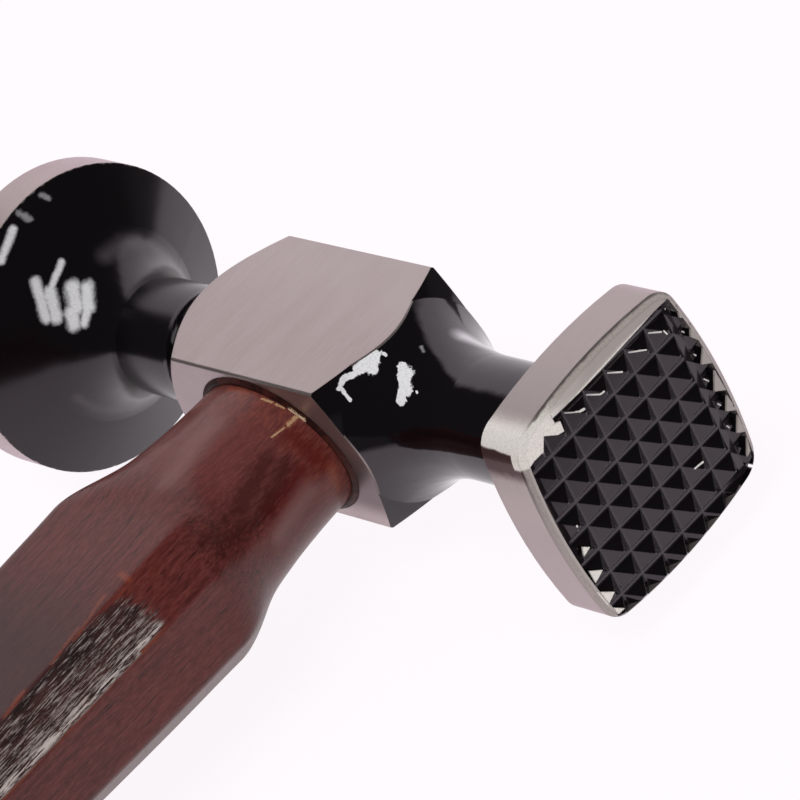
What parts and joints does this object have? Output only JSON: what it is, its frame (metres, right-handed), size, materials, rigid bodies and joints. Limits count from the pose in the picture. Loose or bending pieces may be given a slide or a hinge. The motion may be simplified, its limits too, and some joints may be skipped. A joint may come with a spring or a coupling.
{
  "type": "texturing hammer",
  "caption": "Double-faced hand hammer: a smooth round face, a square face cut into small pyramids, and an eight-sided wooden handle wedged in the head's eye.",
  "frame": {"origin": "under the middle of the whole hammer, on the plane that its lying side's lowest point touches", "axes": "+X runs along the head to the serrated square face, +Y runs out of the top of the head so the handle runs to -Y, and +Z is square to the upper cheek"},
  "size_m": [0.1248, 0.323, 0.046],
  "materials": {
    "lacquered_forging": "black gloss lacquer, with the block's four flats and the faces' edges ground bright",
    "lacquered_hardwood": "dark red-brown gloss lacquer with open pores",
    "bare_hardwood": "matt",
    "wedge_steel": "ground flush",
    "amber_glue": "hard clear amber glue"
  },
  "bodies": {
    "root": {"hammer_head": "lacquered_forging", "handle": "lacquered_hardwood", "wooden_wedge": "bare_hardwood", "steel_wedge_disc_side": "wedge_steel", "steel_wedge_plate_side": "wedge_steel", "eye_glue_bead": "amber_glue"}
  },
  "joints": []
}
